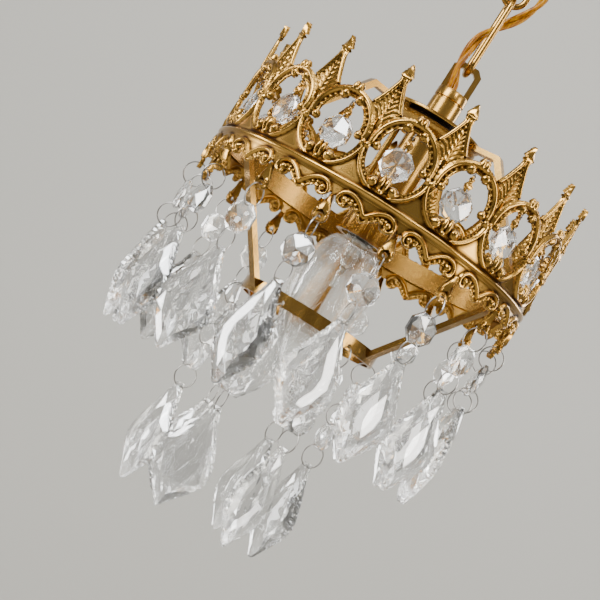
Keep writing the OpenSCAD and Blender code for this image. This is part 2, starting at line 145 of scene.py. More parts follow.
def metal(name, dark, light, rough, grain=1500, stretch=(1, 1, 0.2), bump_strength=0.05):
    """Satin metal with a fine grain, cloudy tone and uneven polish."""
    material, nodes, links, shader = new_material(name)
    shader.inputs["Metallic"].default_value = 1.0
    cloud = noise(nodes, links, 45, 4)
    links.new(ramp(nodes, links, cloud, [(0.3, dark), (0.7, light)]), shader.inputs["Base Color"])
    fine = noise(nodes, links, grain, 4, 0.65, stretch)
    links.new(map_range(nodes, links, fine, 0.25, 0.75, rough - 0.04, rough + 0.05),
              shader.inputs["Roughness"])
    bump(nodes, links, shader, fine, bump_strength, 0.00006)
    return material


def stamped_metal(name, hollow_antique_and_shade, dark, light):
    """Gilt stamping: dark in its hollows from antique darkening and painted shade, bright and more
    polished on its ridges.
    """
    material, nodes, links, shader = new_material(name)
    shader.inputs["Metallic"].default_value = 1.0
    attribute = nodes.new("ShaderNodeAttribute")
    attribute.attribute_name = "hollow"
    cloud = noise(nodes, links, 90, 5)
    gold = ramp(nodes, links, cloud, [(0.3, dark), (0.72, light)])
    mix = nodes.new("ShaderNodeMix")
    mix.data_type = "RGBA"
    links.new(attribute.outputs["Fac"], mix.inputs["Factor"])
    links.new(gold, mix.inputs["A"])
    # Near-black antique darkening and painted shade, mixed in where the stamping is hollow
    mix.inputs["B"].default_value = (*hollow_antique_and_shade, 1)
    links.new(mix.outputs["Result"], shader.inputs["Base Color"])
    links.new(map_range(nodes, links, attribute.outputs["Fac"], 0, 1, 0.20, 0.5),
              shader.inputs["Roughness"])
    fine = noise(nodes, links, 900, 3, 0.6)
    bump(nodes, links, shader, fine, 0.05, 0.00005)
    return material


def clear(name, tint, rough_low, rough_high, ior, waves=60, bump_strength=0.03, coat=0.0,
          opacity=1.0):
    """Clear polished glass with faint waves and an uneven polish."""
    material, nodes, links, shader = new_material(name)
    shader.inputs["Coat Weight"].default_value = coat
    shader.inputs["Coat Roughness"].default_value = 0.01
    shader.inputs["Coat IOR"].default_value = 2.3
    shader.inputs["Alpha"].default_value = opacity
    shader.inputs["Transmission Weight"].default_value = 1.0
    shader.inputs["IOR"].default_value = ior
    wave = noise(nodes, links, waves, 2)
    pale = tuple(min(1.0, c * 1.02) for c in tint)
    links.new(ramp(nodes, links, wave, [(0.35, tint), (0.65, pale)]), shader.inputs["Base Color"])
    links.new(map_range(nodes, links, wave, 0.3, 0.7, rough_low, rough_high),
              shader.inputs["Roughness"])
    bump(nodes, links, shader, wave, bump_strength, 0.0004)
    return material


def plastic(name, dark, light, rough):
    material, nodes, links, shader = new_material(name)
    speck = noise(nodes, links, 260, 4)
    links.new(ramp(nodes, links, speck, [(0.35, dark), (0.65, light)]), shader.inputs["Base Color"])
    links.new(map_range(nodes, links, speck, 0.3, 0.7, rough - 0.05, rough + 0.07),
              shader.inputs["Roughness"])
    bump(nodes, links, shader, speck, 0.08, 0.0001)
    return material


def golden_sheath():
    """Amber see-through sheath over bright strands."""
    material, nodes, links, shader = new_material("golden_flex")
    strand = noise(nodes, links, 700, 3, 0.6, (1, 1, 0.12))
    links.new(ramp(nodes, links, strand, [(0.34, (0.15, 0.045, 0.0)), (0.52, (0.37, 0.135, 0.0)),
                                          (0.72, (0.62, 0.33, 0.0))]), shader.inputs["Base Color"])
    shader.inputs["Roughness"].default_value = 0.34
    shader.inputs["Specular IOR Level"].default_value = 0.2
    shader.inputs["Coat Weight"].default_value = 0.05
    shader.inputs["Coat Roughness"].default_value = 0.12
    bump(nodes, links, shader, strand, 0.12, 0.0001)
    return material


BRASS = metal("satin_brass", (0.36, 0.19, 0.040), (0.45, 0.255, 0.061), 0.24, bump_strength=0.02)
BARS = metal("bar_brass", (0.29, 0.15, 0.032), (0.44, 0.255, 0.066), 0.19, 1200, (1, 1, 0.15))
AGED = metal("aged_brass", (0.28, 0.13, 0.022), (0.58, 0.33, 0.08), 0.26, 700, (1, 1, 1), 0.3)
# Its first colour is the antique darkening and painted shade of the hollows
STAMPED = stamped_metal("stamped_brass", (0.030, 0.010, 0.0015), (0.41, 0.215, 0.041),
                        (0.51, 0.295, 0.070))
ZINC = metal("zinc_steel", (0.45, 0.45, 0.44), (0.62, 0.62, 0.60), 0.38)
NICKEL = metal("nickel_cap", (0.52, 0.50, 0.46), (0.70, 0.68, 0.63), 0.3)
WIRE = metal("ring_steel", (0.24, 0.225, 0.21), (0.42, 0.40, 0.37), 0.3, 900, (1, 1, 1))
FILAMENT = metal("filament", (0.30, 0.25, 0.21), (0.45, 0.40, 0.35), 0.35)
CRYSTAL = clear("crystal", (0.985, 0.99, 0.99), 0.0, 0.01, 1.54, 25, 0.004, coat=1.0, opacity=0.93)
BULB = clear("bulb_glass", (0.97, 0.975, 0.97), 0.0, 0.02, 1.42, 25, 0.01, opacity=0.42)
STEM = clear("stem_glass", (0.93, 0.95, 0.93), 0.0, 0.04, 1.5, 120, 0.12)
FLEX = golden_sheath()
IVORY = plastic("ivory_plastic", (0.78, 0.74, 0.64), (0.86, 0.83, 0.74), 0.42)
# Near-black painted shade for the inside of the dish
SHADE_BLACK = plastic("painted_shade_black", (0.010, 0.008, 0.006), (0.022, 0.017, 0.013), 0.35)


# ---------- mesh helpers ----------

# A direction that no path here runs along
SIDE_SEED = [0.31, 0.52, 0.79]

class Shape:
    """Collects points and faces in millimetres, then makes one mesh object in metres."""

    def __init__(self):
        self.points = []
        self.faces = []
        self.count = 0

    def add(self, points, faces, matrix=None):
        points = np.asarray(points, float)
        if matrix is not None:
            points = points @ np.array(matrix.to_3x3()).T + np.array(matrix.translation)
        self.points.append(points)
        self.faces.extend([[i + self.count for i in face] for face in faces])
        self.count += len(points)

    def make(self, name, material, body, slot, smooth=True, sharp=40, replaces=()):
        mesh = bpy.data.meshes.new(name)
        mesh.from_pydata((np.concatenate(self.points) * MM).tolist(), [], self.faces)
        mesh.validate()
        mesh.update()
        finish_shading(mesh, smooth, sharp)
        mesh.materials.append(material)
        piece = bpy.data.objects.new(name, mesh)
        bpy.context.scene.collection.objects.link(piece)
        if body is not None:
            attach(piece, body)
        if replaces:
            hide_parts(*replaces)
        return piece


def finish_shading(mesh, smooth, sharp):
    mesh.polygons.foreach_set("use_smooth", [smooth] * len(mesh.polygons))
    if smooth:
        mesh.set_sharp_from_angle(angle=math.radians(sharp))


def place(angle, radius, height, yaw=0.0):
    """Local axes with X outwards at that azimuth, then turned by yaw about the vertical."""
    return (Matrix.Rotation(math.radians(angle), 4, "Z") @ Matrix.Translation((radius, 0, height))
            @ Matrix.Rotation(math.radians(yaw), 4, "Z"))


def tube_mesh(path, radius, sides, closed=False):
    """Points and faces of a tube along a path, with frames that don't twist."""
    path = np.asarray(path, float)
    count = len(path)
    radii = np.broadcast_to(np.asarray(radius, float), (count,))
    if closed:
        way = np.roll(path, -1, 0) - np.roll(path, 1, 0)
    else:
        way = np.gradient(path, axis=0)
    way /= np.linalg.norm(way, axis=1)[:, None]
    side = np.cross(way[0], SIDE_SEED)
    turns = np.arange(sides) * 2 * math.pi / sides
    points = []
    for i in range(count):
        side = side - way[i] * np.dot(side, way[i])
        side /= np.linalg.norm(side)
        other = np.cross(way[i], side)
        circle = np.cos(turns)[:, None] * side + np.sin(turns)[:, None] * other
        points.append(path[i] + radii[i] * circle)
    faces = []
    for i in range(count if closed else count - 1):
        n = (i + 1) % count
        for j in range(sides):
            k = (j + 1) % sides
            faces.append([i * sides + j, i * sides + k, n * sides + k, n * sides + j])
    if not closed:
        faces.append(list(range(sides))[::-1])
        faces.append([(count - 1) * sides + j for j in range(sides)])
    return np.concatenate(points), faces


def ring_mesh(mean_r, wire_r, around=40, sides=8):
    """A wire ring whose plane holds the local X and Z axes."""
    turns = np.arange(around) * 2 * math.pi / around
    path = np.stack([np.cos(turns) * mean_r, 0 * turns, np.sin(turns) * mean_r], 1)
    return tube_mesh(path, wire_r, sides, closed=True)


def lathe_mesh(profile, around):
    """A closed surface turned about the vertical from a profile of (radius, height) points."""
    profile = np.asarray(profile, float)
    # Its faces look outwards whichever way the profile runs
    if np.sum(profile[:-1, 0] * profile[1:, 1] - profile[1:, 0] * profile[:-1, 1]) < 0:
        profile = profile[::-1]
    turns = np.arange(around) * 2 * math.pi / around
    rows = [np.stack([r * np.cos(turns), r * np.sin(turns), np.full(around, z)], 1)
            for r, z in profile]
    faces = []
    for i in range(len(profile) - 1):
        for j in range(around):
            k = (j + 1) % around
            faces.append([i * around + j, i * around + k,
                          (i + 1) * around + k, (i + 1) * around + j])
    return np.concatenate(rows), faces


def curve_through(points, steps):
    """A smooth curve through the points."""
    points = np.asarray(points, float)
    padded = np.vstack([2 * points[0] - points[1], points, 2 * points[-1] - points[-2]])
    out = []
    for i in range(1, len(padded) - 2):
        a, b, c, d = padded[i - 1:i + 3]
        for t in np.arange(steps) / steps:
            out.append(0.5 * (2 * b + (c - a) * t + (2 * a - 5 * b + 4 * c - d) * t * t
                              + (3 * b - a - 3 * c + d) * t ** 3))
    out.append(points[-1])
    return np.array(out)


# ---------- the twisted flex ----------

# Points of its middle line, in millimetres from the top of the collar
FLEX_ROUTE = [
    (-2, -3.9, -4), (-2, -3.9, -1), (-2.2, -3.9, 2), (-3.4, -4.1, 6), (-4.6, -4.3, 10),
    (-5, -4.4, 14), (-4.9, -4.3, 18), (-4.6, -3.8, 22), (-4, -3, 26), (-2.8, -1.7, 30),
    (-0.8, -0.4, 34),
    (1.8, 0.2, 38), (4.6, 0.1, 42), (7.2, -0.3, 46), (9.4, -0.9, 50), (11.2, -1.8, 54.5),
    (12, -2.8, 58.8), (11.4, -3.9, 63), (9.8, -4.8, 66.6), (7.3, -5.2, 69.9), (4.5, -4.8, 72.8),
    (2, -3.4, 75.8), (0.8, -1.2, 78.9), (1.1, 1.5, 81.9), (3, 4.2, 85.3), (5.5, 6.5, 90),
    (7.7, 7.8, 95.2), (9.1, 8.3, 101), (9.5, 8.5, 106), (9.5, 8.5, 112),
]

CORE_R = 1.24
CORE_OFFSET = 1.2
TWIST_PITCH = 46.0


def twisted_cores(path, offset, pitch):
    """Two cores wound round a path."""
    way = np.gradient(path, axis=0)
    length = np.concatenate([[0], np.cumsum(np.linalg.norm(np.diff(path, axis=0), axis=1))])
    way /= np.linalg.norm(way, axis=1)[:, None]
    side = np.cross(way[0], SIDE_SEED)
    cores = [[], []]
    for i in range(len(path)):
        side = side - way[i] * np.dot(side, way[i])
        side /= np.linalg.norm(side)
        other = np.cross(way[i], side)
        turn = 2 * math.pi * length[i] / pitch
        arm = math.cos(turn) * side + math.sin(turn) * other
        cores[0].append(path[i] + offset * arm)
        cores[1].append(path[i] - offset * arm)
    return cores


def power_cord():
    route = np.array(FLEX_ROUTE) + np.array([0, 0, COLLAR_Z])
    path = curve_through(route, 7)
    cores = twisted_cores(path, CORE_OFFSET, TWIST_PITCH)
    # One stretch for each joint that the flex passes, cut where it follows a chain link alone:
    # upper and lower body, lowest and highest point, start and end of the blend
    stretches = [("flex_low", "lower_link", "light", -3, 34, 27, 6),
                 ("flex_middle", "upper_link", "lower_link", 34, 71, 63, 42),
                 ("flex_high", "ceiling_mount", "upper_link", 71, 113, 100, 79)]
    height = path[:, 2] - COLLAR_Z
    for name, upper, lower, low, high, start, end in stretches:
        shape = Shape()
        inside = np.nonzero((height >= low - 0.8) & (height <= high + 0.8))[0]
        for core in cores:
            points, faces = tube_mesh(np.array(core)[inside], CORE_R, 14)
            shape.add(points, faces)
        replaced = ("power_cord",) if name == "flex_high" else ()
        piece = shape.make(name, FLEX, None, "golden_flex", replaces=replaced)
        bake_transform(piece)


power_cord()


# ---------- stamped crown strip ----------

HALF = math.pi * CROWN_R / UNITS


def dome(distance, radius):
    return np.sqrt(np.clip(1 - (distance / radius) ** 2, 0, 1))


def outside_polygon(u, z, points):
    """Signed distance to a closed outline, negative inside."""
    best = np.full(u.shape, 1e9)
    inside = np.zeros(u.shape, bool)
    count = len(points)
    for i in range(count):
        (ax, az), (bx, bz) = points[i], points[(i + 1) % count]
        ex, ez = bx - ax, bz - az
        t = np.clip(((u - ax) * ex + (z - az) * ez) / max(ex * ex + ez * ez, 1e-9), 0, 1)
        best = np.minimum(best, np.hypot(u - ax - t * ex, z - az - t * ez))
        crosses = ((az > z) != (bz > z)) & (u < ex * (z - az) / (ez if ez else 1e-9) + ax)
        inside ^= crosses
    return np.where(inside, -best, best)


def along(u, z, points):
    """Distance to an open line of points."""
    best = np.full(u.shape, 1e9)
    for (ax, az), (bx, bz) in zip(points[:-1], points[1:]):
        ex, ez = bx - ax, bz - az
        t = np.clip(((u - ax) * ex + (z - az) * ez) / max(ex * ex + ez * ez, 1e-9), 0, 1)
        best = np.minimum(best, np.hypot(u - ax - t * ex, z - az - t * ez))
    return best


def smooth_line(points, steps=4):
    return [tuple(point) for point in curve_through(points, steps)]


def mirrored(points):
    return points + [(-x, y) for x, y in points[::-1]]


# Half outlines and ridge lines of one unit, as (distance from its middle, height)
SPIRE_TIP = smooth_line([(0, 54), (0.8, 53.2), (1.75, 51.2), (2.6, 49.6), (2.85, 48.7),
                         (2.1, 47.2)])
SPIRE_BODY = smooth_line([(1.85, 46.4), (2.1, 45.0), (2.8, 43.0), (3.75, 40.7), (4.9, 38.0),
                          (6.2, 35.4), (7.6, 33.0)])
SPIRE = SPIRE_TIP + SPIRE_BODY + [(7.6, 12)]
TEAR = smooth_line([(0.7, -6), (1.3, -9), (2.3, -12.2), (3.15, -14.8), (3.45, -16.6), (3.0, -18.4),
                    (1.8, -19.5), (0, -19.85)], 3)
BORDER_RIDGE = smooth_line([(0, -8.6), (1.8, -6.7), (3.8, -4.9), (6.0, -3.6), (8.4, -2.95),
                            (10.8, -3.2), (12.6, -4.6), (13.3, -6.6), (12.8, -8.4),
                            (11.3, -9.3), (9.9, -8.9)], 3)
BORDER_PEARLS = [(1.6, -8.8), (3.4, -7.4), (5.2, -6.2), (7.2, -5.5), (9.1, -5.3)]
BORDER_EDGE = smooth_line([(0, -10.9), (2.5, -9.6), (4.6, -8.0), (6.6, -6.9), (8.2, -6.8)], 3)
BORDER_POINT = [(-1, -11.5), (0, -11.4), (2.7, -9.9), (4.9, -8.2), (6.6, -7.1), (6.6, -5), (-1, -5)]
MEDALLION_Z = 20.2
CRESCENT_Z = 17.6
GRID_LOW = -20.4
GRID_HIGH = 54.4
ABOVE_BEAD_STRETCH = 1.05
STAMPING_T = 0.95


def strip_outline(a, z):
    """Signed distance of one unit's outline, negative in the metal, at a from the unit's middle."""
    d = HALF - a
    metal_parts = [
        np.maximum(np.maximum(-6.6 - z, z - 18.2), a - HALF - 1),
        np.hypot(a, z - MEDALLION_Z) - 15.3,
        (np.hypot((a - 1.1) / 1.6, (z - 35.2) / 2.8) - 1) * 1.6,
        np.hypot(a - 10.4, z + 6.3) - 3.6,
        outside_polygon(a, z, BORDER_POINT),
        outside_polygon(d, z, mirrored(SPIRE)),
        outside_polygon(d, z, mirrored(TEAR)),
        np.hypot(d, z - 17.0) - 1.6,
    ]
    outline = np.minimum.reduce(metal_parts)
    upper = np.maximum(np.hypot(a, z - MEDALLION_Z) - 10.7, 17.0 - z)
    crescent = np.maximum(np.hypot(a, z - CRESCENT_Z) - 13.4, z - 17.2)
    ears = np.hypot(a - 11.0, z - 18.7) - 1.8
    volutes = np.hypot(a - 4.9, z - 5.9) - 2.35
    top_volutes = np.hypot(a - 3.9, z - 31.3) - 2.25
    bud = (np.hypot((a - 1.1) / 1.3, (z - 7.4) / 3.3) - 1) * 1.3
    window = np.minimum(upper, crescent)
    window = np.maximum(window, -np.minimum.reduce([ears, volutes, top_volutes, bud]))
    outline = np.maximum(outline, -window)
    outline = np.maximum(outline, 1.15 - np.hypot(d, z + 17.0))
    return outline


def volute(relief, a, z, centre, radius, height):
    """A ball with a spiral groove, as the end of a scroll."""
    away = np.hypot(a - centre[0], z - centre[1])
    np.maximum(relief, height * dome(away, radius), out=relief)
    turn = (np.arctan2(z - centre[1], a - centre[0]) + math.pi) / (2 * math.pi)
    relief -= np.where(away < radius, 0.35 * dome(away - radius * (0.45 + 0.45 * turn), 0.3), 0)


def strip_relief(a, z):
    """How far the stamping stands out from the strip, in mm."""
    d = HALF - a
    relief = np.zeros(a.shape)

    def raise_to(height, where=True):
        np.maximum(relief, np.where(where, height, -9), out=relief)

    def sink(where, depth):
        relief[where] = np.minimum(relief[where], -depth)

    def pearl(centre_z, circle_r, degrees, pearl_r):
        at = math.radians(degrees)
        away = np.hypot(a - circle_r * math.cos(at), z - centre_z - circle_r * math.sin(at))
        return dome(away, pearl_r)

    # Upper scrolls: a beaded channel inside a thick ridge and a thin line
    r = np.hypot(a, z - MEDALLION_Z)
    high = z > 17.2
    turn = np.degrees(np.arctan2(z - MEDALLION_Z, a))
    sink(high & (r > 11.5) & (r < 12.8), 0.3)
    for k in range(7):
        raise_to(0.7 * pearl(MEDALLION_Z, 12.15, 4 + 11 * k, 0.55) - 0.2, high)
    fade = np.clip((turn + 14) / 8, 0, 1)
    raise_to(fade * 1.5 * dome(r - 13.9, 1.15), high)
    raise_to(fade * 0.7 * dome(r - 15.25, 0.4), high)
    raise_to(fade * 0.75 * dome(r - 11.05, 0.5), high)
    raise_to(1.6 * dome(np.hypot(a - 11.2, z - 18.7), 1.75))
    # Lower crescents
    r = np.hypot(a, z - CRESCENT_Z)
    low = (z < 16.9) & (z > 1.6)
    sink(low & (r > 16.6) & (r < 17.2), 0.3)
    sink(low & (a > 5.4) & (r > 13.7) & (r < 14.8), 0.4)
    for k in range(9):
        raise_to(0.7 * pearl(CRESCENT_Z, 14.25, -10 - 6.9 * k, 0.48) - 0.25, low & (a > 5.4))
    raise_to(1.5 * dome(r - 15.7, 0.98), low)
    raise_to(0.6 * dome(r - 13.55, 0.3), low & (a > 5.4))
    # Buds and volutes, then the knots between two units
    raise_to(1.7 * dome(np.hypot((a - 1.15) / 1.3, (z - 7.3) / 3.4), 1.0))
    raise_to(1.2 * dome(np.hypot(a, z - 3.6), 1.3))
    raise_to(1.9 * dome(np.hypot((a - 1.15) / 1.5, (z - 35.4) / 2.7), 1.0))
    volute(relief, a, z, (4.9, 5.9), 2.3, 2.0)
    volute(relief, a, z, (3.9, 31.3), 2.2, 1.8)
    raise_to(1.9 * dome(np.hypot(d - 1.05, z - 17.1), 1.55))
    # Bead rib: round above, hollowed below, between two fine grooves
    sink((z > 1.75) & (z < 2.3), 0.25)
    sink((z > -2.75) & (z < -2.2), 0.25)
    bead = np.interp(z, [-2.25, -2.0, -1.2, -0.5, -0.15, 0.3, 0.8, 1.3, 1.7],
                     [0, 0.3, 0.42, 0.75, 1.35, 1.5, 1.4, 1.0, 0])
    np.maximum(relief, np.where((z > -2.25) & (z < 1.7), bead, -9), out=relief)
    # Border scrolls
    ridge = along(a, z, BORDER_RIDGE)
    scroll = BORDER_RIDGE + [(8.2, -6.9), (4.6, -8.1), (2.5, -9.7), (0, -11)]
    inside = outside_polygon(a, z, scroll) < 0
    sink(inside & (ridge > 0.6), 0.4)
    sink(~inside & (z < -2.3) & (ridge > 0.85) & (ridge < 1.3) & (a < 13), 0.25)
    raise_to(1.6 * dome(ridge, 1.05))
    raise_to(0.75 * dome(along(a, z, BORDER_EDGE), 0.42))
    for pa, pz in BORDER_PEARLS:
        raise_to(0.9 * dome(np.hypot(a - pa, z - pz), 0.95) - 0.3)
    raise_to(1.8 * dome(np.hypot(a - 10.4, z + 6.5), 1.7))
    # Teardrop: two facets that meet at a sharp ridge, and an arched hollow round the hole
    tear = -outside_polygon(d, z, mirrored(TEAR))
    half_tear = np.interp(z, [-19.8, -18.4, -16.6, -12.2, -9, -6], [0.3, 3.0, 3.45, 2.3, 1.3, 0.7])
    facets = 0.35 + 1.75 * np.clip(1 - np.abs(d) / half_tear, 0, 1)
    away = np.hypot(d, z + 17.2)
    facets = np.where(away < 2.35, 0.1, facets)
    facets = np.where((tear < 0.75) & (z < -14.5), 1.0, facets)
    raise_to(facets, (tear > 0) & (z < -7.2))
    # Spire: raised borders, slanting ribs each side of a midrib, a collar and a pointed tip
    edge = -outside_polygon(d, z, mirrored(SPIRE))
    clear_of_scrolls = np.hypot(a, z - MEDALLION_Z) > 15.6
    leaf = (edge > 0) & (z > 28.3) & (z < 46.6) & clear_of_scrolls
    sink(leaf, 0.3)
    rib = 0.5 + 0.5 * np.sin(2 * math.pi * ((z - 0.9 * d + 0.35 * np.sin(1.6 * d)) / 2.5))
    raise_to(0.8 * rib ** 1.3 - 0.25, leaf & (edge > 1.2))
    raise_to(0.75 * dome(d, 0.45), leaf)
    raise_to(1.3 * dome(edge - 0.8, 0.95), (z > 33.6) & (z < 47))
    raise_to(0.9 * dome(d - 0.9, 0.4), (z > 19) & (z < 28) & clear_of_scrolls)
    raise_to(1.35 * dome(z - 47.9, 1.1), edge > 0)
    half_tip = np.interp(z, [48.6, 49.6, 51.2, 53.2, 54], [2.85, 2.6, 1.75, 0.8, 0.05])
    raise_to(0.4 + 1.5 * np.clip(1 - np.abs(d) / half_tip, 0, 1), (edge > 0) & (z > 48.6))
    return relief


def crown_grid(columns, rows, low, high):
    """One unit's grid, with the points near an edge moved onto it."""
    u = np.linspace(-HALF, HALF, columns + 1)[:-1]
    z = np.linspace(low, high, rows + 1)
    u, z = np.meshgrid(u, z, indexing="ij")
    cell = 2 * HALF / columns
    for _ in range(2):
        step = 0.02
        value = strip_outline(np.abs(u), z)
        rise_u = strip_outline(np.abs(u + step), z) - strip_outline(np.abs(u - step), z)
        rise_z = strip_outline(np.abs(u), z + step) - strip_outline(np.abs(u), z - step)
        slope_u, slope_z = rise_u / (2 * step), rise_z / (2 * step)
        size = np.maximum(slope_u ** 2 + slope_z ** 2, 0.05)
        near = np.abs(value) < 0.62 * cell
        du, dz = -value * slope_u / size, -value * slope_z / size
        limit = 0.5 * cell / np.maximum(np.hypot(du, dz), 0.5 * cell)
        u = u + np.where(near, du * limit, 0)
        z = z + np.where(near, dz * limit, 0)
    return u, z


def box_blur(values, size):
    out = values
    for axis in (0, 1):
        out = sum(np.roll(out, s, axis) for s in range(-size, size + 1)) / (2 * size + 1)
    return out


def crown_strip():
    columns, rows = ((76, 178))
    u, z = crown_grid(columns, rows, GRID_LOW, GRID_HIGH)
    outline = strip_outline(np.abs(u), z)
    relief = strip_relief(np.abs(u), z)
    z = np.where(z > 0, z * ABOVE_BEAD_STRETCH, z)
    # Dark where the stamping lies lower than what is round it: antique darkening and painted shade
    hollow = np.clip((box_blur(relief, 4) - relief) * 1.6 + 0.12, 0, 1)
    keep_point = outline < 0.06
    total = UNITS * columns
    u_all = np.concatenate([u] * UNITS)
    z_all = np.concatenate([z] * UNITS)
    relief_all = np.concatenate([relief] * UNITS)
    hollow_all = np.concatenate([hollow] * UNITS)
    keep_all = np.concatenate([keep_point] * UNITS)
    unit = np.repeat(np.arange(UNITS), columns)[:, None]
    angle = np.radians(MEDALLION_0 + unit * UNIT_ANGLE) + u_all / CROWN_R
    right = np.roll(np.arange(total), -1)
    keep = (keep_all[:, :-1] & keep_all[:, 1:] & keep_all[right][:, :-1] & keep_all[right][:, 1:])
    height = rows + 1
    index = np.arange(total * height).reshape(total, height)
    front_r = CROWN_R + relief_all
    back_r = np.maximum(front_r - STAMPING_T, STRIP_IN_R + 0.03)
    points = []
    for radius in (front_r, back_r):
        skin = np.stack([radius * np.cos(angle), radius * np.sin(angle), z_all + BEAD_Z], -1)
        points.append(skin.reshape(-1, 3))
    points = np.concatenate(points)
    back = total * height
    a, b = index[:, :-1], index[:, 1:]
    c, d = index[right][:, 1:], index[right][:, :-1]
    quads = np.stack([a, d, c, b], -1)[keep]
    faces = [quads, quads[:, ::-1] + back]
    # Rims where the next cell is empty
    left_cell = np.roll(keep, 1, 0)
    right_cell = np.roll(keep, -1, 0)
    below = np.concatenate([np.zeros((total, 1), bool), keep[:, :-1]], 1)
    above = np.concatenate([keep[:, 1:], np.zeros((total, 1), bool)], 1)
    sides = [(left_cell, a, b), (right_cell, c, d), (below, d, a), (above, b, c)]
    for neighbour, first, second in sides:
        edge = keep & ~neighbour
        p, q = first[edge], second[edge]
        faces.append(np.stack([p, q, q + back, p + back], -1))
    faces = np.concatenate(faces)
    used, compact = np.unique(faces, return_inverse=True)
    faces = compact.reshape(faces.shape)
    points = points[used]
    # The back is mixed a fixed quarter of the way toward the same dark colour
    hollow_points = np.concatenate([hollow_all.reshape(-1), np.full(total * height, 0.25)])[used]
    mesh = bpy.data.meshes.new("crown_strip_stamped")
    mesh.vertices.add(len(points))
    mesh.vertices.foreach_set("co", (points * MM).astype(np.float32).reshape(-1))
    mesh.loops.add(faces.size)
    mesh.loops.foreach_set("vertex_index", faces.reshape(-1).astype(np.int32))
    mesh.polygons.add(len(faces))
    mesh.polygons.foreach_set("loop_start", (np.arange(len(faces)) * 4).astype(np.int32))
    mesh.update(calc_edges=True)
    attribute = mesh.attributes.new("hollow", "FLOAT", "POINT")
    attribute.data.foreach_set("value", hollow_points.astype(np.float32))
    finish_shading(mesh, smooth=True, sharp=55)
    mesh.materials.append(STAMPED)
    piece = bpy.data.objects.new("crown_strip_stamped", mesh)
    bpy.context.scene.collection.objects.link(piece)
    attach(piece, "light")
    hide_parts("crown_strip")


crown_strip()


# ---------- crystals ----------

RING_R = 5.5
WIRE_R = 0.3
SEAT = 0.45
HOLE_GAP = 9.8
OCTAGON_STEP = 2 * RING_R + 2 * SEAT + HOLE_GAP
PENDANT_H = 50.0
PENDANT_HALF_W = 14.5
PENDANT_HOLE = 2.5
PENDANT_NOTCH = 0.89
PENDANT_TURN = 28.0


def octagon_mesh(width=14.0, edge=1.4, thick=5.6):
    """Cut octagon facing X: eight broad facets meet in a point, small ones lie round the girdle."""
    rim = width / 2 / math.cos(math.radians(22.5))
    points, faces = [], []
    for side in (-1, 1):
        base = len(points)
        for radius, x, start in [(rim, edge / 2, 22.5), (rim * 0.84, edge / 2 + 0.9, 45.0)]:
            for k in range(8):
                turn = math.radians(start + 45 * k)
                points.append((side * x, radius * math.cos(turn), radius * math.sin(turn)))
        points.append((side * thick / 2, 0, 0))
        made = []
        for k in range(8):
            n = (k + 1) % 8
            made.append([base + k, base + n, base + 8 + k])
            made.append([base + 8 + k, base + n, base + 8 + n])
            made.append([base + 8 + k, base + 8 + n, base + 16])
        faces += [face if side > 0 else face[::-1] for face in made]
    for k in range(8):
        n = (k + 1) % 8
        faces.append([k, n, 17 + n, 17 + k])
    return np.array(points), faces


LEAF_SHARES = [0, 0.06, 0.16, 0.3, 0.44, 0.56, 0.66, 0.78, 0.9, 1]
LEAF_WIDTHS = [0.15, 0.22, 0.36, 0.62, 0.86, 1, 0.94, 0.68, 0.32, 0.05]


def leaf_half(share):
    return PENDANT_HALF_W * np.interp(share, LEAF_SHARES, LEAF_WIDTHS)


def pendant_mesh():
    """Cut pendant facing X, its top at the origin: notched edges, side facets and a tall table."""
    shares = np.concatenate([np.linspace(0, 0.5, 11), np.linspace(0.56, 1, 10)])
    right = []
    for i, share in enumerate(shares[:-1]):
        following = shares[i + 1]
        notch = share + 0.18 * (following - share)
        middle = (notch + following) / 2
        right.append((leaf_half(share) * PENDANT_NOTCH, -share * PENDANT_H))
        right.append((leaf_half(notch), -notch * PENDANT_H))
        right.append((leaf_half(middle), -middle * PENDANT_H))
    outline = np.array(right + [(0.0, -PENDANT_H)] + [(-x, z) for x, z in right[::-1]])
    n = len(outline)
    shoulder = closed_leaf([(0, -1.2), (2.0, -3.5), (3.9, -8.5), (7.4, -15.5), (10.7, -22.5),
                            (12.4, -28), (11.2, -33.2), (7.6, -39), (3.2, -44.6), (0, -48)])
    crown = closed_leaf([(0, -7), (3.4, -12), (6.8, -20), (8.8, -28), (5.6, -36), (0, -43.5)])
    table = closed_leaf([(0, -16), (3.6, -25), (3.2, -31), (0, -37)])
    levels = [(outline, 0.8), (shoulder, 1.9), (crown, 3.5), (table, 4.2)]
    points, faces = [], []
    for side in (-1, 1):
        starts = []
        for ring, x in levels:
            starts.append(len(points))
            points += [(side * x, y, z) for y, z in ring]
        made = [list(range(starts[-1], len(points)))]
        for i in range(len(levels) - 1):
            made += bridge(levels[i][0], levels[i + 1][0], starts[i], starts[i + 1])
        faces += [face[::-1] if side > 0 else face for face in made]
    other = len(points) // 2
    for j in range(n):
        m = (j + 1) % n
        faces.append([j, other + j, other + m, m])
    return np.array(points), faces


def closed_leaf(half):
    """Both halves of a leaf outline whose first and last points lie on its middle line."""
    return np.array(half + [(-y, z) for y, z in half[-2:0:-1]], float)


def bridge(outer, inner, outer_base, inner_base):
    """Triangles between two closed rings of points that both start at the top."""
    def shares(ring):
        steps = np.hypot(*(np.roll(ring, -1, 0) - ring).T)
        return np.concatenate([[0], np.cumsum(steps)]) / steps.sum()
    a, b = shares(outer), shares(inner)
    i = j = 0
    faces = []
    while i < len(outer) or j < len(inner):
        p, q = outer_base + i % len(outer), inner_base + j % len(inner)
        if j >= len(inner) or (i < len(outer) and a[i + 1] + a[i] <= b[j + 1] + b[j]):
            faces.append([p, outer_base + (i + 1) % len(outer), q])
            i += 1
        else:
            faces.append([p, inner_base + (j + 1) % len(inner), q])
            j += 1
    return faces


